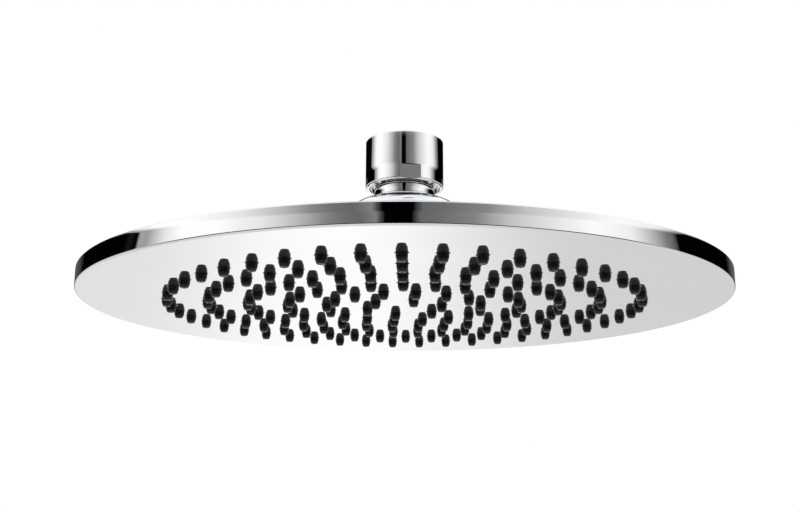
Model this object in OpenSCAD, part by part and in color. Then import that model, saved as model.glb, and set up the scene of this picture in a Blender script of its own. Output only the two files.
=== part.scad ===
// Round overhead shower head on a ball joint, with a silicone nozzle mat behind a
// polished face. Millimetres, +Z up. The origin is on the axis of the inlet thread, at
// its outer end, where the mouth chamfer stops, and the head hangs below it.
// Inside the modules, heights are counted up from the plane of the spray face.

/* [Head] */
// Diameter of the head
head_d = 250; // [230:1:300]
// Height from the spray face to the top of the collar
overall_h = 68; // [67:0.5:72]
// Height of the upright rim
rim_h = 7.2; // [6.8:0.1:9]
// Sheet thickness of the spray face and its rim
face_t = 1.2; // [1:0.1:1.5]
// Radius of the lower edge of the rim
rim_edge_r = 0.8; // [0.5:0.1:1]
// Radius of the upper edge of the rim
rim_lip_r = 0.5; // [0.3:0.05:0.55]

/* [Back shell] */
// Sheet thickness of the back shell
shell_t = 1.2; // [1:0.1:1.5]
// Radius of the ball-shaped top of the dome
dome_r = 41; // [38:0.5:46]
// Slope at which the dome turns from its crown into its foot, in degrees
dome_turn = 60; // [52:1:66]
// Width of the flange that stands on the face along the rim
shell_foot_w = 2; // [1.5:0.1:3]

/* [Neck] */
// Diameter of the neck boss under the collar
neck_d = 24.6; // [23.6:0.1:25]
// Height of the neck boss above the dome
neck_h = 3.7; // [3:0.1:4]
// Diameter of the spigot of the boss inside the dome
spigot_d = 18.6; // [18:0.1:19.2]
// Length of the spigot below the seat on the dome
spigot_l = 8.5; // [7.5:0.1:10]
// Thickness of the gasket under the boss nut
gasket_t = 1; // [0.8:0.1:1.4]
// Height of the boss nut
boss_nut_h = 4; // [3:0.1:5]
// Width across the flats of the boss nut
boss_nut_af = 24; // [23:0.1:24.4]

/* [Collar] */
// Outside diameter of the swivel collar
collar_d = 31.6; // [31.2:0.1:34]
// Length of the collar
collar_h = 19.7; // [19.5:0.1:19.9]
// Chamfer of the lower outer edge of the collar
collar_chamfer = 0.8; // [0.4:0.05:0.9]
// Edge break of the upper outer edge of the collar
collar_break = 0.4; // [0.2:0.05:0.6]
// Depth of each wrench flat
flat_depth = 0.55; // [0.4:0.05:0.8]
// Height of the wrench flats
flat_h = 6; // [4:0.5:7]
// Turn of the wrench flats from the front, in degrees
flat_turn = 9.5; // [0:0.5:30]
// Wall round the recess that the neck tilts into
recess_wall = 1.5; // [1.4:0.05:1.8]
// Thickness of the lip that holds the ball
lip_t = 1.4; // [1.1:0.05:1.5]

/* [Inlet] */
// Minor diameter of the inlet thread
thread_d = 18.631; // [18.5:0.001:19.2]
// Depth of the chamfer at the inlet mouth
mouth_chamfer = 0.6; // [0.4:0.05:0.9]
// Depth of the thread relief over the thread wall
relief_depth = 1.3; // [0.8:0.1:1.6]
// Thickness of the inlet washer
washer_t = 1.6; // [1.4:0.1:2]
// Thickness of the filter screen
screen_t = 0.4; // [0.3:0.05:0.6]
// Thickness of the thrust ring
thrust_t = 0.8; // [0.6:0.05:1]
// Diameter of the water way through washer and thrust ring
inlet_way_d = 11.2; // [10:0.1:11.6]
// Diameter of a hole in the filter screen
screen_hole_d = 0.8; // [0.5:0.05:1]
// Distance between holes in the filter screen
screen_pitch = 1.25; // [1.2:0.05:1.6]

/* [Ball joint] */
// Diameter of the ball
ball_d = 14.4; // [14.2:0.1:14.8]
// Height of the ball's centre above the neck
ball_up = 6.1; // [5.9:0.05:6.3]
// Height of the ball's flat top over its centre
ball_top = 3; // [2.6:0.1:3.2]
// Diameter of the stem under the ball
stem_d = 10.8; // [10:0.1:11]
// Diameter of the flange on the stem
flange_d = 24; // [23:0.1:24.4]
// Thickness of the flange
flange_t = 1; // [0.8:0.05:1.1]
// Diameter of the threaded end of the stem
tail_d = 13.8; // [13:0.1:14.2]
// Length of the threaded end of the stem
tail_l = 9.4; // [8:0.1:10]
// Diameter of the water way through the stem
bore_d = 6.8; // [6:0.1:7]
// Width across the flats of the key socket in the stem
socket_af = 8; // [7.2:0.1:8.6]
// Largest tilt of the head, in degrees
tilt_limit = 10; // [5:0.5:10]
// Depth to which the seat ring reaches into the lip
seat_reach = 1.1; // [0.8:0.05:1.2]

/* [Flow regulator] */
// Diameter of the flow regulator
regulator_d = 9.8; // [9.4:0.1:10.4]
// Height of the flow regulator
regulator_h = 3.2; // [2.8:0.1:3.4]
// Thickness of the rubber ring in the regulator
regulator_ring_t = 1.2; // [1:0.1:1.4]
// Number of holes in the regulator's floor
regulator_holes = 8; // [6:1:10]

/* [Nozzles] */
// Distance from one ring of nozzles to the next
ring_pitch = 15.3; // [13:0.1:15.5]
// Number of nozzles on each ring, from the middle outwards
ring_counts = [6, 16, 25, 35, 40, 45]; // [1:1:60]
// Turn of each ring from the front, in degrees
ring_turns = [14, 8.5, 0, 0, 0, 0]; // [0:0.5:60]
// Diameter of a nozzle where it leaves the face
nozzle_base_d = 4.6; // [4:0.1:5.2]
// Diameter of a nozzle at its tip
nozzle_tip_d = 3.1; // [2.4:0.1:3.6]
// Length of a nozzle below the face
nozzle_l = 2.9; // [2:0.1:3.6]
// Diameter of the jet hole at the tip
jet_d = 1.2; // [0.8:0.1:1.6]
// Thickness of the nozzle mat
mat_t = 1.4; // [1:0.1:1.6]

/* [Distribution plate] */
// Thickness of the distribution plate
plate_t = 1.8; // [1.4:0.1:2]
// Width of the mat and the plate outside the last ring of nozzles
plate_margin = 12.5; // [11.5:0.1:14]
// Diameter of a feed hole over a nozzle
feed_d = 2.6; // [2:0.1:3.2]
// Height of the ribs on the plate
rib_h = 0.8; // [0.5:0.1:1.1]
// Width of the ribs on the plate
rib_w = 1.2; // [1:0.1:2]
// Number of gaps in each rib
rib_gaps = 12; // [6:1:18]
// Section diameter of the chamber seal
seal_t = 2.7; // [2.4:0.1:2.9]

/* [Studs and screws] */
// Diameter of the weld studs
stud_d = 3; // [2.5:0.1:3.5]
// Length of the weld studs
stud_l = 4.5; // [4.3:0.05:4.6]
// Diameter of the weld foot of a stud
stud_foot_d = 4.8; // [4.2:0.1:5.4]
// Thickness of the weld foot of a stud
stud_foot_t = 0.6; // [0.4:0.1:0.8]
// Number of studs outside the last ring of nozzles
outer_studs = 12; // [8:1:18]
// Number of studs between the second and third rings
inner_studs = 6; // [3:1:8]
// Width across the flats of the stud nuts
stud_nut_af = 5.5; // [5:0.1:6]
// Height of the stud nuts
stud_nut_h = 1.2; // [0.8:0.1:1.2]

/* [Water spreader] */
// Diameter of the water spreader
spreader_d = 56; // [50:1:60]
// Thickness of the water spreader
spreader_t = 1.2; // [1:0.1:2]
// Height of the posts that carry the spreader
post_h = 7; // [5:0.5:10]
// Diameter of the posts
post_d = 6; // [5.5:0.1:7]
// Number of posts
posts = 3; // [3:1:4]
// Height of the cone in the middle of the spreader
cone_h = 4; // [2:0.5:6]
// Number of slots in the spreader
slots = 12; // [8:1:16]
// Diameter of the spreader screws
screw_d = 2.8; // [2.4:0.1:3]
// Head diameter of the spreader screws
screw_head_d = 5.4; // [4.8:0.1:5.8]
// Head height of the spreader screws
screw_head_h = 1.7; // [1.4:0.1:2]

/* [Clearances] */
// Gap between the ball and what it turns in
ball_gap = 0.05; // [0.02:0.01:0.08]
// Gap between loose rings and the collar's bore
ring_gap = 0.06; // [0.03:0.01:0.1]
// Gap round spigots, studs and screws in their holes
fit_gap = 0.1; // [0.05:0.01:0.15]
// Gap between the tilted flange and the collar
tilt_gap = 0.5; // [0.3:0.05:0.6]
// Gap round a nozzle in the face
nozzle_gap = 0.05; // [0.03:0.01:0.1]
// Gap between the back shell and the rim
rim_gap = 0.1; // [0.05:0.01:0.2]

/* [Hidden] */
$fn = 96;
small_fn = 24;

chrome = [0.80, 0.82, 0.84];
brass = [0.78, 0.66, 0.36];
steel = [0.62, 0.64, 0.66];
black_rubber = [0.05, 0.05, 0.05];
white_plastic = [0.88, 0.88, 0.86];
grey_plastic = [0.55, 0.57, 0.60];

// Head
head_r = head_d / 2;
rim_in_r = head_r - face_t;

// Dome: the crown is a circle about the axis, cut flat for the neck, and the foot is a
// larger circle that runs out level with the top of the rim
neck_r = neck_d / 2;
neck_lift = 0.4;
collar_z = overall_h - collar_h;
flange_z = collar_z - neck_lift;
neck_z = flange_z - neck_h;
dome_z = neck_z - sqrt(dome_r * dome_r - neck_r * neck_r);
turn_x = dome_r * sin(dome_turn);
turn_z = dome_z + dome_r * cos(dome_turn);
foot_r = (turn_z - rim_h) / (1 - cos(dome_turn));
foot_x = turn_x + foot_r * sin(dome_turn);

// Ball joint
ball_r = ball_d / 2;
pivot_z = flange_z + ball_up;
stem_r = stem_d / 2;
tail_r = tail_d / 2;
socket_r = ball_r + ball_gap;
flange_r = flange_d / 2;
flange_drop = ball_up - flange_t;
flange_reach = sqrt(flange_r * flange_r + flange_drop * flange_drop);
flange_angle = atan(flange_drop / flange_r);

// Collar, from the mouth down
collar_r = collar_d / 2;
recess_r = collar_r - recess_wall;
recess_z = pivot_z - flange_reach * sin(flange_angle - tilt_limit) + tilt_gap;
recess_step_r = flange_reach * cos(flange_angle - tilt_limit) - tilt_gap;
lip_low_z = pivot_z - flange_drop * cos(tilt_limit) + stem_r * sin(tilt_limit) + tilt_gap;
lip_z = lip_low_z + lip_t;
lip_r = stem_r + 2 * ball_up * sin(tilt_limit);
bore_r = thread_d / 2;
ring_r = bore_r - ring_gap;
relief_r = bore_r + relief_depth;
seal_top_z = pivot_z + ball_r * sin(asin(ball_top / ball_r) + tilt_limit) + tilt_gap / 2;
thrust_z = seal_top_z;
screen_z = thrust_z + thrust_t;
washer_z = screen_z + screen_t;
thread_z = washer_z + washer_t;
seat_top_z = pivot_z;
way_r = inlet_way_d / 2;
seat_foot_r = lip_r + seat_reach;

// Neck boss and what clamps it
spigot_r = spigot_d / 2;
spigot_end_z = neck_z - spigot_l;
gasket_z = neck_z - shell_t - gasket_t;
boss_nut_z = gasket_z - boss_nut_h;
stem_seal_r = (tail_r + neck_r) / 2;
stem_seal_t = 1.3;

// Plates, from the face up
plate_r = ring_pitch * len(ring_counts) + plate_margin;
mat_z = face_t;
plate_z = mat_z + mat_t;
plate_top_z = plate_z + plate_t;
stud_top_z = mat_z + stud_l;
outer_stud_r = plate_r - plate_margin / 3;
inner_stud_r = ring_pitch * 2.5;
post_r = ring_pitch * 1.5;
spreader_z = plate_top_z + post_h;
seal_ring_r = plate_r + fit_gap + seal_t / 2;
seal_skirt_z = mat_z + seal_t;

// Counts heights from the plane of the spray face
module from_face() {
    translate([0, 0, mouth_chamfer - overall_h]) children();
}

// One copy at each of n places on a circle, the first at the front
module around(n, radius, turn = 0) {
    for (i = [0 : n - 1])
        rotate([0, 0, -90 + turn + 360 * i / n]) translate([radius, 0, 0]) children();
}

module at_nozzles() {
    for (k = [0 : len(ring_counts) - 1])
        around(ring_counts[k], ring_pitch * (k + 1), ring_turns[k]) children();
}

module at_studs() {
    around(outer_studs, outer_stud_r) children();
    around(inner_studs, inner_stud_r, 180 / inner_studs) children();
}

module at_posts() {
    around(posts, post_r) children();
}

module disc(r, z0, z1) {
    translate([0, 0, z0]) cylinder(r = r, h = z1 - z0);
}

module ring(r_out, r_in, z0, z1) {
    difference() {
        disc(r_out, z0, z1);
        disc(r_in, z0 - 1, z1 + 1);
    }
}

module hexagon(af, z0, z1) {
    translate([0, 0, z0]) cylinder(r = af / sqrt(3), h = z1 - z0, $fn = 6);
}

module o_ring(radius, section, z0) {
    translate([0, 0, z0 + section / 2])
        rotate_extrude() translate([radius, 0]) circle(d = section, $fn = 32);
}

// Turned collar with the female inlet thread, the ball's lip and the tilt recess
module swivel_collar() {
    color(chrome) from_face() difference() {
        rotate_extrude() polygon([
            [0, collar_z],
            [collar_r - collar_chamfer, collar_z],
            [collar_r, collar_z + collar_chamfer],
            [collar_r, overall_h - collar_break],
            [collar_r - collar_break, overall_h],
            [0, overall_h]
        ]);
        collar_recess();
        collar_bore();
        wrench_flats();
    }
}

module collar_recess() {
    rotate_extrude() polygon([
        [0, collar_z - 1],
        [recess_r, collar_z - 1],
        [recess_r, recess_z],
        [recess_step_r, recess_z],
        [lip_r, lip_low_z],
        [0, lip_low_z]
    ]);
}

module collar_bore() {
    rotate_extrude() polygon([
        [0, lip_low_z - 1],
        [lip_r, lip_low_z - 1],
        [lip_r, lip_low_z],
        [seat_foot_r + fit_gap, lip_z],
        [bore_r, lip_z],
        [bore_r, washer_z],
        [relief_r, washer_z],
        [relief_r, thread_z],
        [bore_r, thread_z],
        [bore_r, overall_h - mouth_chamfer],
        [bore_r + mouth_chamfer, overall_h],
        [bore_r + mouth_chamfer, overall_h + 1],
        [0, overall_h + 1]
    ]);
}

module wrench_flats() {
    for (side = [0, 180])
        rotate([0, 0, flat_turn - 90 + side])
            translate([collar_r - flat_depth, -collar_r, collar_z - 1])
                cube([collar_r, collar_d, flat_h + 1]);
}

module inlet_washer() {
    color(black_rubber) from_face() ring(ring_r, way_r, washer_z, thread_z);
}

// Perforated disc: holes on a triangular grid inside the water way
module filter_screen() {
    rows = ceil(way_r / screen_pitch);
    color(steel) from_face() difference() {
        disc(ring_r, screen_z, washer_z);
        for (i = [-rows : rows], j = [-rows : rows]) {
            x = screen_pitch * (i + j / 2);
            y = screen_pitch * j * sqrt(3) / 2;
            if (norm([x, y]) < way_r - screen_hole_d)
                translate([x, y, screen_z - 1])
                    cylinder(d = screen_hole_d, h = screen_t + 2, $fn = small_fn);
        }
    }
}

module thrust_ring() {
    color(white_plastic) from_face() ring(ring_r, way_r, thrust_z, screen_z);
}

// Rubber cup over the upper half of the ball
module ball_seal() {
    color(black_rubber) from_face() difference() {
        disc(ring_r, seat_top_z, thrust_z);
        translate([0, 0, pivot_z]) sphere(r = socket_r);
        disc(way_r, pivot_z, thrust_z + 1);
    }
}

// Low-friction ring between the ball and the lip
module seat_ring() {
    color(white_plastic) from_face() difference() {
        rotate_extrude() polygon([
            [0, lip_z - seat_reach],
            [lip_r + fit_gap + seat_reach * 0.1, lip_z - seat_reach],
            [seat_foot_r, lip_z],
            [ring_r, lip_z],
            [ring_r, seat_top_z],
            [0, seat_top_z]
        ]);
        translate([0, 0, pivot_z]) sphere(r = socket_r);
        disc(stem_r, lip_z - seat_reach - 1, pivot_z);
    }
}

// Insert in the top of the ball: a floor with holes round a post
module flow_regulator() {
    top_z = pivot_z + ball_top;
    floor_z = top_z - regulator_h;
    floor_t = 1;
    wall = 0.8;
    post = 1.3;
    hole = 0.8;
    color(white_plastic) from_face() difference() {
        disc(regulator_d / 2, floor_z, top_z);
        difference() {
            disc(regulator_d / 2 - wall, floor_z + floor_t, top_z + 1);
            disc(post, floor_z, top_z - wall);
        }
        around(regulator_holes, regulator_d / 2 - wall - hole)
            translate([0, 0, floor_z - 1])
                cylinder(d = hole, h = floor_t + 2, $fn = small_fn);
    }
}

module regulator_ring() {
    floor_z = pivot_z + ball_top - regulator_h + 1;
    color(black_rubber) from_face()
        o_ring(1.3 + fit_gap + regulator_ring_t / 2, regulator_ring_t, floor_z);
}

// Ball, stem, flange and threaded tail in one turned piece, with a key socket
module ball_stem() {
    color(chrome) from_face() difference() {
        union() {
            intersection() {
                translate([0, 0, pivot_z]) sphere(r = ball_r);
                disc(ball_r, pivot_z - ball_r, pivot_z + ball_top);
            }
            disc(stem_r, flange_z, pivot_z - ball_up / 2);
            disc(flange_r, flange_z, flange_z + flange_t);
            disc(tail_r, flange_z - tail_l, flange_z);
        }
        disc(bore_d / 2, flange_z - tail_l - 1, pivot_z + ball_top + 1);
        disc(regulator_d / 2 + fit_gap, pivot_z + ball_top - regulator_h, pivot_z + ball_top + 1);
        hexagon(socket_af, flange_z - tail_l - 1, flange_z - tail_l / 2);
    }
}

module stem_seal() {
    color(black_rubber) from_face()
        o_ring(stem_seal_r, stem_seal_t, flange_z - stem_seal_t);
}

// Turned boss on the dome: shoulder, spigot and the thread for the stem
module neck_boss() {
    color(chrome) from_face() difference() {
        union() {
            disc(neck_r, neck_z, flange_z);
            disc(spigot_r, spigot_end_z, neck_z);
        }
        disc(tail_r + fit_gap, spigot_end_z - 1, flange_z + 1);
        ring(
            stem_seal_r + stem_seal_t / 2 + fit_gap,
            stem_seal_r - stem_seal_t / 2 - fit_gap,
            flange_z - stem_seal_t,
            flange_z + 1
        );
    }
}

module boss_gasket() {
    color(black_rubber) from_face()
        ring(neck_r - 0.5, spigot_r + fit_gap, gasket_z, gasket_z + gasket_t);
}

module boss_nut() {
    color(brass) from_face() difference() {
        hexagon(boss_nut_af, boss_nut_z, gasket_z);
        disc(spigot_r + fit_gap, boss_nut_z - 1, gasket_z + 1);
    }
}

// Half section of the dome and the flat of the shell, moved inwards by inset
module shell_section(inset) {
    join_x = turn_x - inset * sin(dome_turn);
    join_z = turn_z - inset * cos(dome_turn);
    intersection() {
        translate([0, dome_z]) circle(r = dome_r - inset, $fn = 180);
        translate([0, join_z]) square([dome_r, neck_z - inset - join_z]);
    }
    difference() {
        polygon([
            [0, mat_z],
            [foot_x, mat_z],
            [foot_x, rim_h - inset],
            [join_x, join_z],
            [0, join_z]
        ]);
        translate([foot_x, rim_h + foot_r]) circle(r = foot_r + inset, $fn = 180);
    }
}

// Pressed shell: dome, flat, skirts that press on the seal and stand on the face
module back_shell() {
    outer_r = rim_in_r - rim_gap;
    color(chrome) from_face() difference() {
        rotate_extrude() {
            difference() {
                shell_section(0);
                shell_section(shell_t);
                translate([-1, -1]) square([foot_x + 2, rim_h - shell_t + 1]);
            }
            translate([foot_x, rim_h - shell_t]) square([outer_r - foot_x, shell_t]);
            translate([outer_r - shell_foot_w, mat_z]) square([shell_foot_w, rim_h - mat_z]);
            translate([seal_ring_r - seal_t / 2, seal_skirt_z])
                square([seal_t, rim_h - shell_t / 2 - seal_skirt_z]);
        }
        disc(spigot_r + fit_gap, neck_z - dome_r / 2, neck_z + 1);
    }
}

// Slotted disc with a cone in the middle, over which the water spreads
module water_spreader() {
    slot_w = 2;
    color(grey_plastic) from_face() difference() {
        union() {
            disc(spreader_d / 2, spreader_z, spreader_z + spreader_t);
            translate([0, 0, spreader_z + spreader_t])
                cylinder(r1 = post_r / 2, r2 = 1, h = cone_h);
        }
        around(slots, post_r / 2 + 2, 180 / slots)
            translate([0, -slot_w / 2, spreader_z - 1])
                cube([post_r / 2 - post_d / 2, slot_w, spreader_t + 2]);
        at_posts() disc(screw_d / 2 + fit_gap, spreader_z - 1, spreader_z + spreader_t + 1);
    }
}

module spreader_screws() {
    shank_l = post_h * 0.7;
    top_z = spreader_z + spreader_t;
    color(steel) from_face() at_posts() difference() {
        union() {
            disc(screw_d / 2, top_z - shank_l, top_z + 0.2);
            disc(screw_head_d / 2, top_z, top_z + screw_head_h);
        }
        hexagon(screw_d * 0.8, top_z + screw_head_h / 2, top_z + screw_head_h + 1);
    }
}

// Plate that clamps the mat, with a feed hole over each nozzle and broken ribs
module distribution_plate() {
    color(white_plastic) from_face() difference() {
        union() {
            disc(plate_r, plate_z, plate_top_z);
            plate_ribs();
            at_posts() disc(post_d / 2, plate_top_z - 0.5, spreader_z);
        }
        at_nozzles() translate([0, 0, plate_z - 1])
            cylinder(d = feed_d, h = plate_t + 2, $fn = small_fn);
        at_studs() translate([0, 0, plate_z - 1])
            cylinder(d = stud_d + 2 * fit_gap, h = plate_t + 2, $fn = small_fn);
        at_posts() disc(screw_d / 2 + fit_gap, plate_top_z, spreader_z + 1);
    }
}

module plate_ribs() {
    gap_w = 4;
    difference() {
        for (k = [3 : len(ring_counts) - 1])
            ring(
                ring_pitch * (k + 0.5) + rib_w / 2,
                ring_pitch * (k + 0.5) - rib_w / 2,
                plate_top_z - 0.5,
                plate_top_z + rib_h
            );
        around(rib_gaps, 0, 180 / rib_gaps)
            translate([0, -gap_w / 2, plate_top_z]) cube([head_r, gap_w, rib_h + 1]);
    }
}

module chamber_seal() {
    color(black_rubber) from_face() o_ring(seal_ring_r, seal_t, mat_z);
}

// Silicone sheet with all the nozzles: each a short cone with a funnel to its jet hole
module nozzle_mat() {
    color(black_rubber) from_face() difference() {
        union() {
            disc(plate_r, mat_z, plate_z);
            at_nozzles() nozzle();
        }
        at_nozzles() translate([0, 0, -nozzle_l])
            cylinder(d1 = jet_d, d2 = feed_d, h = nozzle_l + plate_z, $fn = small_fn);
        at_studs() translate([0, 0, mat_z - 1])
            cylinder(d = stud_foot_d + 2 * fit_gap, h = mat_t + 2, $fn = small_fn);
    }
}

module nozzle() {
    cylinder(d = nozzle_base_d, h = plate_z - mat_t / 2, $fn = small_fn);
    translate([0, 0, -nozzle_l])
        cylinder(d1 = nozzle_tip_d, d2 = nozzle_base_d, h = nozzle_l, $fn = small_fn);
}

// Half section of the pan: flat face, rounded lower edge, rim and rounded lip
module pan_section() {
    square([head_r - rim_edge_r, face_t]);
    translate([head_r - face_t, rim_edge_r]) square([face_t, rim_h - rim_lip_r - rim_edge_r]);
    intersection() {
        translate([head_r - rim_edge_r, rim_edge_r]) circle(r = rim_edge_r, $fn = 32);
        translate([head_r - rim_edge_r, 0]) square(rim_edge_r);
    }
    translate([head_r - face_t, rim_h - 2 * rim_lip_r]) square([face_t - rim_lip_r, 2 * rim_lip_r]);
    intersection() {
        translate([head_r - rim_lip_r, rim_h - rim_lip_r]) circle(r = rim_lip_r, $fn = 32);
        translate([head_r - rim_lip_r, rim_h - rim_lip_r]) square(rim_lip_r);
    }
}

// Pressed pan with a hole for each nozzle
module spray_face() {
    color(chrome) from_face() difference() {
        rotate_extrude() pan_section();
        at_nozzles() translate([0, 0, -1])
            cylinder(d = nozzle_base_d + 2 * nozzle_gap, h = face_t + 2, $fn = small_fn);
    }
}

module face_studs() {
    color(steel) from_face() at_studs() {
        translate([0, 0, mat_z]) cylinder(d = stud_foot_d, h = stud_foot_t, $fn = small_fn);
        translate([0, 0, mat_z]) cylinder(d = stud_d, h = stud_l, $fn = small_fn);
    }
}

module stud_nuts() {
    color(steel) from_face() at_studs() difference() {
        hexagon(stud_nut_af, plate_top_z, plate_top_z + stud_nut_h);
        translate([0, 0, plate_top_z - 1])
            cylinder(d = stud_d + fit_gap, h = stud_nut_h + 2, $fn = small_fn);
    }
}

swivel_collar();
inlet_washer();
filter_screen();
thrust_ring();
ball_seal();
seat_ring();
flow_regulator();
regulator_ring();
ball_stem();
stem_seal();
neck_boss();
boss_gasket();
boss_nut();
back_shell();
water_spreader();
spreader_screws();
distribution_plate();
chamber_seal();
nozzle_mat();
spray_face();
face_studs();
stud_nuts();
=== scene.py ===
"""Chrome overhead shower head, seen from a little below, on white."""

import math

import bpy
from mathutils import Matrix, Vector


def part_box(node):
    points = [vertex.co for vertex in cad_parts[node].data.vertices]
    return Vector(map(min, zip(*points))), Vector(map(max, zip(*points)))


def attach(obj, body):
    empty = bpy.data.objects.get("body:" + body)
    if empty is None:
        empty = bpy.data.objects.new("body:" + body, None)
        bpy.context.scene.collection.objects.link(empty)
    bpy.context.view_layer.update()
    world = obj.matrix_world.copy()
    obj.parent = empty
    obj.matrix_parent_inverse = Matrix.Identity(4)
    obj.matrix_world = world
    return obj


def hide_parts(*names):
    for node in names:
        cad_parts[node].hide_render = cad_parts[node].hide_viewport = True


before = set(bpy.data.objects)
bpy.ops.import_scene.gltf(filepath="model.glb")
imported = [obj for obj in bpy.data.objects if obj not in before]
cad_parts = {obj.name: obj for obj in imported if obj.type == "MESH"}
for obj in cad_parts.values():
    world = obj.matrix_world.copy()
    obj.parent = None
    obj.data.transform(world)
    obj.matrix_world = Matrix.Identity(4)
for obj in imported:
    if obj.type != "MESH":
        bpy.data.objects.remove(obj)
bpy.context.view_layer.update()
face_low, face_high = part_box("spray_face")
collar_low, collar_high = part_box("swivel_collar")

# Sizes in millimetres. Heights are counted up from the plane of the spray face.
MM = 0.001
HEAD_R = 125.0
RIM_H = 7.2
SHEET = 1.2
RIM_EDGE = 0.8
RIM_LIP = 0.5
RIM_GAP = 0.1

COLLAR_R = 15.8
COLLAR_LOW = 48.3
COLLAR_TOP = 68.0
COLLAR_CHAMFER = 0.8
RECESS_R = 14.3
RECESS_H = 51.561
RECESS_STEP_R = 12.203
LIP_LOW = 50.415
LIP_H = 51.815
LIP_R = 7.519
LIP_MOUTH_R = 8.72
BORE_R = 9.3155
RELIEF_LOW = 59.541
RELIEF_HIGH = 61.141
RELIEF_R = 10.616
MOUTH_CHAMFER = 0.6
THREAD_ROOT_R = 10.4775
THREAD_PITCH = 1.814
FLAT_DEPTH = 0.55
FLAT_H = 6.0
FLAT_TURN = 9.5

NECK_R = 12.3
NECK_LOW = 44.2
NECK_TOP = 47.9
SPIGOT_R = 9.3
SPIGOT_END = 35.7
TAIL_R = 6.9
FIT_GAP = 0.1
STEM_SEAL_R = 9.6
STEM_SEAL_T = 1.3

BALL_R = 7.2
BALL_TOP = 3.0
PIVOT_H = 54.0
STEM_R = 5.4
FLANGE_R = 12.0
FLANGE_T = 1.0
TAIL_L = 9.4
STEM_BORE_R = 3.4
REGULATOR_R = 5.0
REGULATOR_FLOOR = 53.8

DOME_R = 41.0
DOME_Z = 5.088
DOME_TURN = 60.0
SHELL_FOOT_W = 2.0
SEAL_RING_R = 105.75
SEAL_T = 2.7

RING_PITCH = 15.3
RING_COUNTS = (6, 16, 25, 35, 40, 45)
RING_TURNS = (14.0, 8.5, 0.0, 0.0, 0.0, 0.0)
MAT_T = 1.4
MAT_R = 104.3
NOZZLE_L = 2.9
NOZZLE_R = 2.15
NOZZLE_TIP_R = 1.45
HOLE_R = 2.3
HOLE_FLARE = 0.12
JET_R = 0.6
FEED_R = 1.3
STUD_HOLE_R = 2.5
OUTER_STUDS = 12
OUTER_STUD_R = 100.133
INNER_STUDS = 6
INNER_STUD_R = 38.25

SEGMENTS = 192


def height(z):
    """Row height in metres of a height over the spray face in millimetres."""
    return face_low.z + z * MM


def on_circle(count, radius, turn=0.0):
    """Places in metres on a circle, the first at the front."""
    for i in range(count):
        angle = math.radians(turn - 90 + 360 * i / count)
        yield radius * MM * math.cos(angle), radius * MM * math.sin(angle)


def nozzle_places():
    for k, count in enumerate(RING_COUNTS):
        yield from on_circle(count, RING_PITCH * (k + 1), RING_TURNS[k])


def stud_places():
    yield from on_circle(OUTER_STUDS, OUTER_STUD_R)
    yield from on_circle(INNER_STUDS, INNER_STUD_R, 180 / INNER_STUDS)


# Modelling by operators


def deselect():
    if bpy.context.object and bpy.context.object.mode != "OBJECT":
        bpy.ops.object.mode_set(mode="OBJECT")
    bpy.ops.object.select_all(action="DESELECT")


def take(*objects):
    """Selects these objects alone, the first active."""
    deselect()
    for obj in objects:
        obj.select_set(True)
    bpy.context.view_layer.objects.active = objects[0]


def edit(obj):
    take(obj)
    bpy.ops.object.mode_set(mode="EDIT")
    bpy.ops.mesh.select_mode(type="EDGE")
    bpy.ops.mesh.select_all(action="DESELECT")


def done():
    bpy.ops.object.mode_set(mode="OBJECT")


def turned(name, profile, segments=SEGMENTS, capped=False):
    """A lathe-turned solid: a ring is extruded and resized along its half section."""
    deselect()
    radius, z = profile[0]
    bpy.ops.mesh.primitive_circle_add(
        vertices=segments,
        radius=radius * MM,
        fill_type="NGON" if capped else "NOTHING",
        location=(0, 0, height(z)),
    )
    obj = bpy.context.object
    obj.name = obj.data.name = name
    bpy.ops.object.transform_apply(location=True, rotation=False, scale=False)
    bpy.ops.object.mode_set(mode="EDIT")
    bpy.ops.mesh.select_mode(type="EDGE")
    bpy.ops.mesh.select_all(action="SELECT")
    for next_radius, next_z in profile[1:]:
        bpy.ops.mesh.extrude_region_move(
            TRANSFORM_OT_translate={"value": (0, 0, (next_z - z) * MM)}
        )
        share = next_radius / radius
        bpy.ops.transform.resize(value=(share, share, 1), center_override=(0, 0, height(next_z)))
        radius, z = next_radius, next_z
    if not capped:
        bpy.ops.mesh.select_all(action="DESELECT")
        bpy.ops.mesh.select_non_manifold()
        bpy.ops.mesh.bridge_edge_loops()
    bpy.ops.mesh.select_all(action="SELECT")
    bpy.ops.mesh.normals_make_consistent(inside=False)
    done()
    return obj


def cap_ends(obj):
    """Closes the open end of a capped solid."""
    edit(obj)
    bpy.ops.mesh.select_non_manifold()
    bpy.ops.mesh.edge_face_add()
    bpy.ops.mesh.select_all(action="SELECT")
    bpy.ops.mesh.normals_make_consistent(inside=False)
    done()


def round_edges(obj, corners):
    """Bevels loops of a turned solid, each given by its radius, height, width and segments."""
    for radius, z, width, segments in corners:
        edit(obj)
        done()
        for edge in obj.data.edges:
            ends = [obj.data.vertices[i].co for i in edge.vertices]
            edge.select = all(
                abs(math.hypot(v.x, v.y) - radius * MM) < 2e-6 and abs(v.z - height(z)) < 2e-6
                for v in ends
            )
        bpy.ops.object.mode_set(mode="EDIT")
        bpy.ops.mesh.bevel(offset=width * MM, segments=segments, affect="EDGES")
        done()


def copies(obj, places):
    """Puts a copy of obj at each place, joins them in one object and drops the first."""
    group = []
    for x, y in places:
        take(obj)
        bpy.ops.object.duplicate()
        copy = bpy.context.object
        copy.location = (x, y, 0)
        group.append(copy)
    take(obj)
    bpy.ops.object.delete()
    take(*group)
    bpy.ops.object.join()
    bpy.ops.object.transform_apply(location=True, rotation=False, scale=False)
    return bpy.context.object


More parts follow.
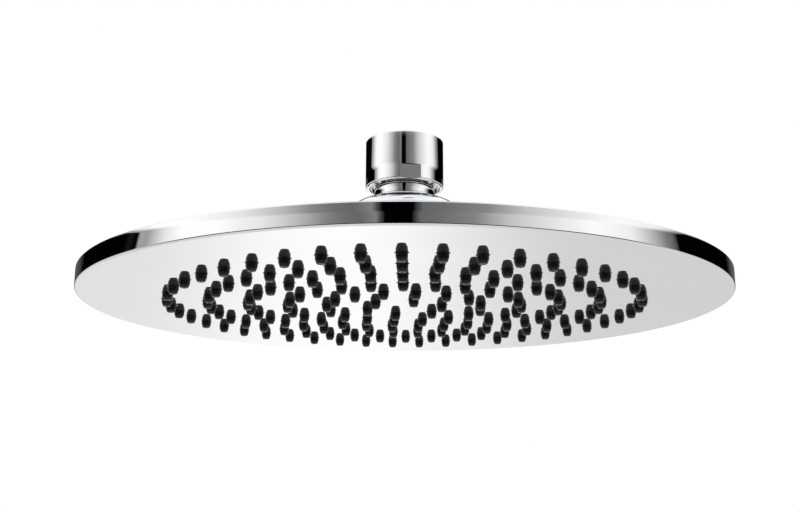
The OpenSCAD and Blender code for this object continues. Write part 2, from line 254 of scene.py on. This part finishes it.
def cut(obj, cutter, operation="DIFFERENCE"):
    """Boolean of two objects. The cutter is used up."""
    take(obj)
    boolean = obj.modifiers.new("cut", "BOOLEAN")
    boolean.operation = operation
    boolean.solver = "EXACT"
    boolean.object = cutter
    bpy.ops.object.modifier_apply(modifier=boolean.name)
    take(cutter)
    bpy.ops.object.delete()


def smooth(obj, angle):
    """Smooth shading up to an angle, with true normals where a flat runs into a rounding."""
    take(obj)
    bpy.ops.object.shade_smooth_by_angle(angle=math.radians(angle))
    mesh = obj.data
    level = [abs(p.normal.z) > 0.999999 for p in mesh.polygons]
    beside = {}
    for p in mesh.polygons:
        for key in p.edge_keys:
            beside.setdefault(key, []).append(level[p.index])
    sharp = mesh.attributes.get("sharp_edge") or mesh.attributes.new("sharp_edge", "BOOLEAN", "EDGE")
    for edge in mesh.edges:
        sides = beside[edge.key]
        if any(sides) and not all(sides):
            sharp.data[edge.index].value = True


def ready(obj, name, body, slot, material, *nodes):
    """Names a finished piece, gives it its material and sets it on its body."""
    obj.name = obj.data.name = name
    obj.data.materials.clear()
    obj.data.materials.append(material)
    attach(obj, body)
    if nodes:
        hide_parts(*nodes)


# Materials


class Finish:
    """A procedural material in the making: a shader and the helpers that feed it."""

    def __init__(self, name, colour, metallic, roughness):
        self.material = bpy.data.materials.new(name)
        self.material.use_nodes = True
        self.tree = self.material.node_tree
        self.shader = self.tree.nodes["Principled BSDF"]
        self.shader.inputs["Base Color"].default_value = (*colour, 1)
        self.shader.inputs["Metallic"].default_value = metallic
        self.shader.inputs["Roughness"].default_value = roughness
        self.place = self.tree.nodes.new("ShaderNodeTexCoord").outputs["Object"]

    def stretched(self, scale):
        node = self.tree.nodes.new("ShaderNodeMapping")
        node.inputs["Scale"].default_value = scale
        self.tree.links.new(self.place, node.inputs["Vector"])
        return node.outputs["Vector"]

    def noise(self, scale, detail=3.0, stretch=(1, 1, 1)):
        node = self.tree.nodes.new("ShaderNodeTexNoise")
        node.inputs["Scale"].default_value = scale
        node.inputs["Detail"].default_value = detail
        self.tree.links.new(self.stretched(stretch), node.inputs["Vector"])
        return node.outputs["Fac"]

    def ranged(self, value, low, high, start=0.3, end=0.7):
        node = self.tree.nodes.new("ShaderNodeMapRange")
        node.inputs["From Min"].default_value = start
        node.inputs["From Max"].default_value = end
        node.inputs["To Min"].default_value = low
        node.inputs["To Max"].default_value = high
        self.tree.links.new(value, node.inputs["Value"])
        return node.outputs["Result"]

    def feed(self, socket, value):
        self.tree.links.new(value, self.shader.inputs[socket])

    def tint(self, value, dark, light, start=0.3, end=0.7):
        node = self.tree.nodes.new("ShaderNodeValToRGB")
        node.color_ramp.elements[0].position = start
        node.color_ramp.elements[0].color = (*dark, 1)
        node.color_ramp.elements[1].position = end
        node.color_ramp.elements[1].color = (*light, 1)
        self.tree.links.new(value, node.inputs["Fac"])
        self.feed("Base Color", node.outputs["Color"])

    def bump(self, value, strength, distance):
        node = self.tree.nodes.new("ShaderNodeBump")
        node.inputs["Strength"].default_value = strength
        node.inputs["Distance"].default_value = distance
        self.tree.links.new(value, node.inputs["Height"])
        self.feed("Normal", node.outputs["Normal"])


def chrome(name, haze=(0.012, 0.035)):
    """Bright chrome plate: a cool tint that drifts a little, and faint cleaning haze."""
    finish = Finish(name, (0.93, 0.94, 0.955), 1.0, haze[0])
    drift = finish.noise(26.0, 2.0)
    finish.tint(drift, (0.915, 0.928, 0.945), (0.945, 0.952, 0.962))
    haze_spots = finish.noise(140.0, 5.0)
    finish.feed("Roughness", finish.ranged(haze_spots, *haze))
    return finish.material


def silicone(name):
    """Black moulded silicone: nearly black, satin, with a fine matt grain."""
    finish = Finish(name, (0.006, 0.006, 0.007), 0.0, 0.3)
    finish.shader.inputs["IOR"].default_value = 1.43
    finish.tint(finish.noise(500.0, 2.0), (0.004, 0.004, 0.0045), (0.009, 0.009, 0.0095))
    finish.feed("Roughness", finish.ranged(finish.noise(2400.0, 3.0), 0.24, 0.38))
    finish.bump(finish.noise(9000.0, 2.0), 0.15, 0.00002)
    return finish.material


def rubber(name):
    """Black rubber of seals and washers: matt, with a dusty bloom."""
    finish = Finish(name, (0.02, 0.02, 0.02), 0.0, 0.6)
    finish.tint(finish.noise(300.0, 4.0), (0.012, 0.012, 0.012), (0.035, 0.035, 0.036))
    finish.feed("Roughness", finish.ranged(finish.noise(900.0), 0.5, 0.75))
    finish.bump(finish.noise(4000.0), 0.3, 0.00003)
    return finish.material


def plastic(name, dark, light):
    """Moulded plastic: a soft sheen, faint flow marks and a fine spark-eroded grain."""
    finish = Finish(name, light, 0.0, 0.4)
    finish.tint(finish.noise(60.0, 3.0, (1, 1, 3)), dark, light)
    finish.feed("Roughness", finish.ranged(finish.noise(700.0), 0.32, 0.5))
    finish.bump(finish.noise(5000.0, 2.0), 0.2, 0.00002)
    return finish.material


def machined(name, dark, light, roughness):
    """Bare machined metal: fine turning marks and a tint that drifts with the tool."""
    finish = Finish(name, light, 1.0, roughness[0])
    marks = finish.noise(120.0, 6.0, (1, 1, 40))
    finish.tint(marks, dark, light)
    finish.feed("Roughness", finish.ranged(marks, *roughness))
    finish.bump(marks, 0.25, 0.00002)
    return finish.material


chrome_plate = chrome("chrome_plate")
mirror_face = chrome("mirror_face", (0.004, 0.014))
mirror_shell = chrome("mirror_shell", (0.012, 0.03))
black_silicone = silicone("black_silicone")
black_rubber = rubber("black_rubber")
white_plastic = plastic("white_plastic", (0.74, 0.74, 0.71), (0.84, 0.84, 0.82))
grey_plastic = plastic("grey_plastic", (0.26, 0.275, 0.29), (0.34, 0.355, 0.37))
brass = machined("brass", (0.62, 0.43, 0.16), (0.78, 0.60, 0.28), (0.16, 0.34))
steel = machined("steel", (0.50, 0.51, 0.53), (0.66, 0.67, 0.69), (0.18, 0.36))

CAD_FINISHES = {
    "inlet_washer": black_rubber,
    "filter_screen": steel,
    "thrust_ring": white_plastic,
    "ball_seal": black_rubber,
    "seat_ring": white_plastic,
    "flow_regulator": white_plastic,
    "regulator_ring": black_rubber,
    "stem_seal": black_rubber,
    "boss_gasket": black_rubber,
    "boss_nut": brass,
    "water_spreader": grey_plastic,
    "spreader_screws": steel,
    "distribution_plate": white_plastic,
    "chamber_seal": black_rubber,
    "face_studs": steel,
    "stud_nuts": steel,
}
for node, material in CAD_FINISHES.items():
    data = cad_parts[node].data
    data.materials.clear()
    data.materials.append(material)


# Spray face: a pressed pan, punched for the nozzles

face = turned(
    "spray_pan",
    [(HEAD_R, 0), (HEAD_R, RIM_H), (HEAD_R - SHEET, RIM_H), (HEAD_R - SHEET, SHEET)],
    capped=True,
)
cap_ends(face)
round_edges(face, [(HEAD_R, 0, RIM_EDGE, 10), (HEAD_R, RIM_H, RIM_LIP, 8)])

FLARE_STEPS = (0, 30, 60, 90)
flare = [
    (
        HOLE_R + HOLE_FLARE * (1 - math.sin(math.radians(a))),
        HOLE_FLARE * (1 - math.cos(math.radians(a))),
    )
    for a in FLARE_STEPS
]
punch = turned(
    "punch",
    [(HOLE_R + HOLE_FLARE, -0.5)] + flare + [(HOLE_R, SHEET + 0.5)],
    segments=32,
    capped=True,
)
cap_ends(punch)
punches = copies(punch, nozzle_places())
cut(face, punches)
smooth(face, 32)
ready(face, "spray_pan", "head", "polished_face", mirror_face, "spray_face")


# Nozzle mat: a moulded sheet with a funnel through each nozzle

sheet = turned("mat_sheet", [(MAT_R, SHEET), (MAT_R, SHEET + MAT_T)], capped=True)
cap_ends(sheet)
through = turned("through", [(NOZZLE_R * 0.9, 0), (NOZZLE_R * 0.9, SHEET + 2 * MAT_T)], 12, True)
cap_ends(through)
cut(sheet, copies(through, nozzle_places()))
stud_hole = turned("stud_hole", [(STUD_HOLE_R, 0), (STUD_HOLE_R, SHEET + 2 * MAT_T)], 24, True)
cap_ends(stud_hole)
cut(sheet, copies(stud_hole, stud_places()))
smooth(sheet, 32)

TIP_EDGE = 0.16
nozzle = turned(
    "nozzle",
    [
        (FEED_R, SHEET + MAT_T - 0.05),
        (NOZZLE_R, SHEET + MAT_T - 0.05),
        (NOZZLE_R - 0.2, -0.5 * NOZZLE_L),
        (NOZZLE_TIP_R, TIP_EDGE - NOZZLE_L),
        (NOZZLE_TIP_R - TIP_EDGE, -NOZZLE_L),
        (JET_R, -NOZZLE_L),
    ],
    segments=14,
)
smooth(nozzle, 50)
nozzles = copies(nozzle, nozzle_places())
take(sheet, nozzles)
bpy.ops.object.join()
ready(sheet, "nozzle_mat_moulding", "head", "silicone", black_silicone, "nozzle_mat")


# Back shell: crown, foot, flat, the flange that stands on the face and the seal's skirt

neck_cos = math.sqrt(DOME_R**2 - NECK_R**2) / DOME_R
turn = math.radians(DOME_TURN)
TURN_X = DOME_R * math.sin(turn)
TURN_H = DOME_Z + DOME_R * math.cos(turn)
FOOT_R = (TURN_H - RIM_H) / (1 - math.cos(turn))
FOOT_X = TURN_X + FOOT_R * math.sin(turn)
SHELL_OUT = HEAD_R - SHEET - RIM_GAP


def crown(inset, first, last, steps):
    """Points along the dome's crown, from one slope to another."""
    for i in range(steps + 1):
        slope = first + (last - first) * i / steps
        radius = DOME_R - inset
        yield radius * math.sin(slope), DOME_Z + radius * math.cos(slope)


def foot(inset, first, last, steps):
    """Points along the dome's foot, which runs out level with the rim."""
    for i in range(steps + 1):
        slope = first + (last - first) * i / steps
        radius = FOOT_R + inset
        yield FOOT_X - radius * math.sin(slope), RIM_H + FOOT_R - radius * math.cos(slope)


neck_slope = math.asin(NECK_R / DOME_R)
inner_slope = math.acos((NECK_LOW - SHEET - DOME_Z) / (DOME_R - SHEET))
seal_in = SEAL_RING_R - SEAL_T / 2
seal_out = SEAL_RING_R + SEAL_T / 2
under = RIM_H - SHEET
dome = turned(
    "dome",
    [(SPIGOT_R + FIT_GAP, NECK_LOW)]
    + list(crown(0, neck_slope, turn, 28))
    + list(foot(0, turn, 0, 32))[1:]
    + [
        (SHELL_OUT, RIM_H),
        (SHELL_OUT, SHEET),
        (SHELL_OUT - SHELL_FOOT_W, SHEET),
        (SHELL_OUT - SHELL_FOOT_W, under),
        (seal_out, under),
        (seal_out, SHEET + SEAL_T),
        (seal_in, SHEET + SEAL_T),
        (seal_in, under),
    ]
    + list(foot(SHEET, 0, turn, 16))
    + list(crown(SHEET, turn, inner_slope, 14))[1:]
    + [(SPIGOT_R + FIT_GAP, NECK_LOW - SHEET)],
)
round_edges(dome, [(SHELL_OUT, RIM_H, 0.25, 4)])
smooth(dome, 32)
ready(dome, "dome_shell", "head", "polished_shell", mirror_shell, "back_shell")


# Neck boss: shoulder, spigot and the groove for the stem's seal

groove_in = STEM_SEAL_R - STEM_SEAL_T / 2 - FIT_GAP
groove_out = STEM_SEAL_R + STEM_SEAL_T / 2 + FIT_GAP
boss = turned(
    "boss",
    [
        (NECK_R, NECK_LOW),
        (NECK_R, NECK_TOP),
        (groove_out, NECK_TOP),
        (groove_out, NECK_TOP - STEM_SEAL_T),
        (groove_in, NECK_TOP - STEM_SEAL_T),
        (groove_in, NECK_TOP),
        (TAIL_R + FIT_GAP, NECK_TOP),
        (TAIL_R + FIT_GAP, SPIGOT_END),
        (SPIGOT_R, SPIGOT_END),
        (SPIGOT_R, NECK_LOW),
    ],
    128,
)
round_edges(boss, [(NECK_R, NECK_LOW, 0.2, 4), (NECK_R, NECK_TOP, 0.25, 4)])
smooth(boss, 32)
ready(boss, "neck_shoulder", "head", "chrome", chrome_plate, "neck_boss")


# Ball stem: ball, stem, flange and tail, bored through


def arc(radius, first, last, steps, middle=PIVOT_H):
    """Points on a circle about a point of the axis, by their angle over the level."""
    for i in range(steps + 1):
        a = math.radians(first + (last - first) * i / steps)
        yield radius * math.cos(a), middle + radius * math.sin(a)


ball_low = -math.degrees(math.acos(STEM_R / BALL_R))
ball_high = math.degrees(math.asin(BALL_TOP / BALL_R))
stem = turned(
    "stem",
    [
        (TAIL_R, NECK_TOP - TAIL_L),
        (TAIL_R, NECK_TOP),
        (FLANGE_R, NECK_TOP),
        (FLANGE_R, NECK_TOP + FLANGE_T),
        (STEM_R, NECK_TOP + FLANGE_T),
    ]
    + list(arc(BALL_R, ball_low, ball_high, 20))
    + [
        (REGULATOR_R, PIVOT_H + BALL_TOP),
        (REGULATOR_R, REGULATOR_FLOOR),
        (STEM_BORE_R, REGULATOR_FLOOR),
        (STEM_BORE_R, NECK_TOP - TAIL_L),
    ],
    96,
)
round_edges(stem, [(FLANGE_R, NECK_TOP + FLANGE_T, 0.2, 3), (FLANGE_R, NECK_TOP, 0.15, 3)])
smooth(stem, 32)
ready(stem, "ball_and_stem", "head", "chrome", chrome_plate, "ball_stem")


# Collar: turned body, two wrench flats and the turns of the inlet thread

collar = turned(
    "collar",
    [
        (COLLAR_R, COLLAR_LOW),
        (COLLAR_R, COLLAR_TOP),
        (BORE_R + MOUTH_CHAMFER, COLLAR_TOP),
        (THREAD_ROOT_R, COLLAR_TOP - MOUTH_CHAMFER),
        (THREAD_ROOT_R, RELIEF_HIGH),
        (RELIEF_R, RELIEF_HIGH),
        (RELIEF_R, RELIEF_LOW),
        (BORE_R, RELIEF_LOW),
        (BORE_R, LIP_H),
        (LIP_MOUTH_R, LIP_H),
        (LIP_R, LIP_LOW),
        (RECESS_STEP_R, RECESS_H),
        (RECESS_R, RECESS_H),
        (RECESS_R, COLLAR_LOW),
    ],
    160,
)
round_edges(
    collar,
    [(COLLAR_R, COLLAR_LOW, COLLAR_CHAMFER, 8), (COLLAR_R, COLLAR_TOP, 0.5, 6), (RECESS_R, COLLAR_LOW, 0.15, 2)],
)
deselect()
bpy.ops.mesh.primitive_cube_add(size=1)
flat_block = bpy.context.object
flat_block.scale = (2 * MM, 2 * COLLAR_R * MM, 2 * FLAT_H * MM)
flat_block.location = ((COLLAR_R - FLAT_DEPTH + 1) * MM, 0, height(COLLAR_LOW))
bpy.ops.object.transform_apply()
for side in (0, 180):
    take(flat_block)
    bpy.ops.object.duplicate()
    block = bpy.context.object
    block.rotation_euler.z = math.radians(FLAT_TURN - 90 + side)
    bpy.ops.object.transform_apply()
    cut(collar, block)
take(flat_block)
bpy.ops.object.delete()
smooth(collar, 12)

deselect()
bpy.ops.mesh.primitive_circle_add(
    vertices=8, radius=1, rotation=(math.radians(90), 0, 0), location=(0, 0, 0)
)
ridge = bpy.context.object
ridge.scale = ((THREAD_ROOT_R - BORE_R) * MM, 0.5 * THREAD_PITCH * MM, 1)
ridge.location = (THREAD_ROOT_R * MM, 0, height(RELIEF_HIGH + 0.5 * THREAD_PITCH))
bpy.ops.object.transform_apply()
winding = ridge.modifiers.new("winding", "SCREW")
winding.steps = winding.render_steps = 72
winding.iterations = 2
winding.screw_offset = THREAD_PITCH * MM
bpy.ops.object.modifier_apply(modifier=winding.name)
edit(ridge)
bpy.ops.mesh.select_non_manifold()
bpy.ops.mesh.fill_holes()
bpy.ops.mesh.select_all(action="SELECT")
bpy.ops.mesh.normals_make_consistent(inside=False)
done()
smooth(ridge, 40)
take(collar, ridge)
bpy.ops.object.join()
ready(collar, "swivel_nut", "collar", "chrome", chrome_plate, "swivel_collar")


# Floor: pale, far under the hanging head

FLOOR_DROP = 1.5
FLOOR_R = 3.0
FLOOR_FILL = 0.3
deselect()
bpy.ops.mesh.primitive_circle_add(vertices=96, radius=FLOOR_R, fill_type="NGON", location=(0, 0, -FLOOR_DROP))
floor = bpy.context.object
floor.name = "floor"
pale = Finish("pale_floor", (0.9, 0.9, 0.9), 0.0, 0.9)
pale.shader.inputs["Specular IOR Level"].default_value = 0.0
pale.tint(pale.noise(2.0), (0.89, 0.89, 0.89), (0.91, 0.91, 0.91))
light_path = pale.tree.nodes.new("ShaderNodeLightPath")
seen = pale.tree.nodes.new("ShaderNodeMath")
seen.operation = "MULTIPLY"
seen.inputs[1].default_value = FLOOR_FILL
pale.tree.links.new(light_path.outputs["Is Camera Ray"], seen.inputs[0])
pale.shader.inputs["Emission Color"].default_value = (1, 1, 1, 1)
pale.feed("Emission Strength", seen.outputs[0])
floor.data.materials.append(pale.material)


# Studio: soft boxes and black flags, written as the world's brightness by direction

# Grey levels, 0 to 255, by azimuth in degrees from the front, negative to the left
WALL = (
    (-180, 90), (-146, 75), (-138, 2), (-104, 2), (-101, 24), (-98, 2), (-97, 8), (-95.5, 165), (-92, 150),
    (-83, 230), (-76, 255), (-62, 255), (-45, 229), (-32, 179), (-25, 135), (-19, 111), (-13.5, 101),
    (-8, 128), (-6.6, 2), (3.6, 2), (5, 100), (11, 108), (23, 132), (35, 198), (48, 228), (63, 253),
    (78, 240), (95, 120), (99, 95), (101, 2), (140, 2), (150, 90),
)
BELOW = (
    (-180, 243), (-178, 250), (-175, 252), (-172, 248), (-169, 238), (-167, 231), (-165, 225), (-150, 218),
    (-100, 205), (-75, 12), (-50, 5), (50, 5), (75, 12), (100, 205), (150, 208), (163, 207), (169, 208),
    (171, 209), (173.4, 215), (175.6, 224), (178, 235), (180, 243),
)
MIRROR = 0.95
WALL_TOP = (26.0, 34.0)
WALL_FOOT = (-4.0, 4.0)
SKY = 1.0
ZENITH = 0.3


def linear(level):
    """Scene brightness that chrome shows as a grey level of the picture."""
    v = level / 255
    return (v / 12.92 if v <= 0.04045 else ((v + 0.055) / 1.055) ** 2.4) / MIRROR


world = bpy.data.worlds.new("studio")
bpy.context.scene.world = world
world.use_nodes = True
tree = world.node_tree
background = tree.nodes["Background"]


def math_node(operation, a, b=None, clamp=False):
    node = tree.nodes.new("ShaderNodeMath")
    node.operation = operation
    node.use_clamp = clamp
    for socket, value in zip(node.inputs, (a, b)):
        if isinstance(value, (int, float)):
            socket.default_value = value
        elif value is not None:
            tree.links.new(value, socket)
    return node.outputs[0]


def eased(value, start, end, low=0.0, high=1.0):
    node = tree.nodes.new("ShaderNodeMapRange")
    node.interpolation_type = "SMOOTHSTEP"
    node.inputs["From Min"].default_value = start
    node.inputs["From Max"].default_value = end
    node.inputs["To Min"].default_value = low
    node.inputs["To Max"].default_value = high
    tree.links.new(value, node.inputs["Value"])
    return node.outputs["Result"]


def ramp(value, stops):
    node = tree.nodes.new("ShaderNodeValToRGB")
    elements = node.color_ramp.elements
    while len(elements) < len(stops):
        elements.new(1.0)
    for element, (azimuth, level) in zip(elements, stops):
        element.position = (azimuth + 180) / 360
        v = linear(level)
        element.color = (v, v, v, 1)
    tree.links.new(value, node.inputs["Fac"])
    return node.outputs["Color"]


def mixed(factor, a, b):
    node = tree.nodes.new("ShaderNodeMix")
    node.data_type = "RGBA"
    for socket, value in ((node.inputs[0], factor), (node.inputs[6], a), (node.inputs[7], b)):
        if isinstance(value, (int, float)):
            socket.default_value = (value, value, value, 1)
        else:
            tree.links.new(value, socket)
    return node.outputs[2]


direction = tree.nodes.new("ShaderNodeTexCoord").outputs["Generated"]
parts = tree.nodes.new("ShaderNodeSeparateXYZ")
tree.links.new(direction, parts.inputs[0])
degrees = 180 / math.pi
elevation = math_node("MULTIPLY", math_node("ARCSINE", parts.outputs["Z"]), degrees)
back = math_node("MULTIPLY", parts.outputs["Y"], -1)
azimuth = math_node("MULTIPLY", math_node("ARCTAN2", parts.outputs["X"], back), degrees)
widening = eased(elevation, 16.0, 17.5, 1.0, 1.18)
flagged = math_node("DIVIDE", azimuth, widening)
wall = ramp(math_node("ADD", math_node("DIVIDE", flagged, 360), 0.5), WALL)
below = ramp(math_node("ADD", math_node("DIVIDE", azimuth, 360), 0.5), BELOW)
colour = mixed(eased(elevation, *WALL_FOOT), below, wall)
colour = mixed(eased(elevation, *WALL_TOP), colour, SKY)
colour = mixed(eased(elevation, 62.0, 80.0), colour, ZENITH)
to_camera = tree.nodes.new("ShaderNodeLightPath").outputs["Is Camera Ray"]
colour = mixed(to_camera, colour, 1.0)
tree.links.new(colour, background.inputs["Color"])


# Camera: the photograph's view, from a little below the face

CAMERA_BACK = 404.3
CAMERA_DROP = 74.7
CAMERA_TURN = 0.5
CAMERA_PITCH = 13.254
CAMERA_YAW = -0.249
CAMERA_ROLL = 0.138
CAMERA_LENS = 46.73

bpy.ops.object.camera_add()
camera = bpy.context.object
camera.data.sensor_width = 36.0
camera.data.lens = CAMERA_LENS
camera.data.clip_start = 0.01
around_axis = Matrix.Rotation(math.radians(CAMERA_TURN), 4, "Z")
camera.matrix_world = (
    around_axis
    @ Matrix.Translation((0, -CAMERA_BACK * MM, height(-CAMERA_DROP)))
    @ Matrix.Rotation(math.radians(-CAMERA_YAW), 4, "Z")
    @ Matrix.Rotation(math.radians(90 + CAMERA_PITCH), 4, "X")
    @ Matrix.Rotation(math.radians(CAMERA_ROLL), 4, "Z")
)
bpy.context.scene.camera = camera
bpy.context.scene.view_settings.view_transform = "Standard"
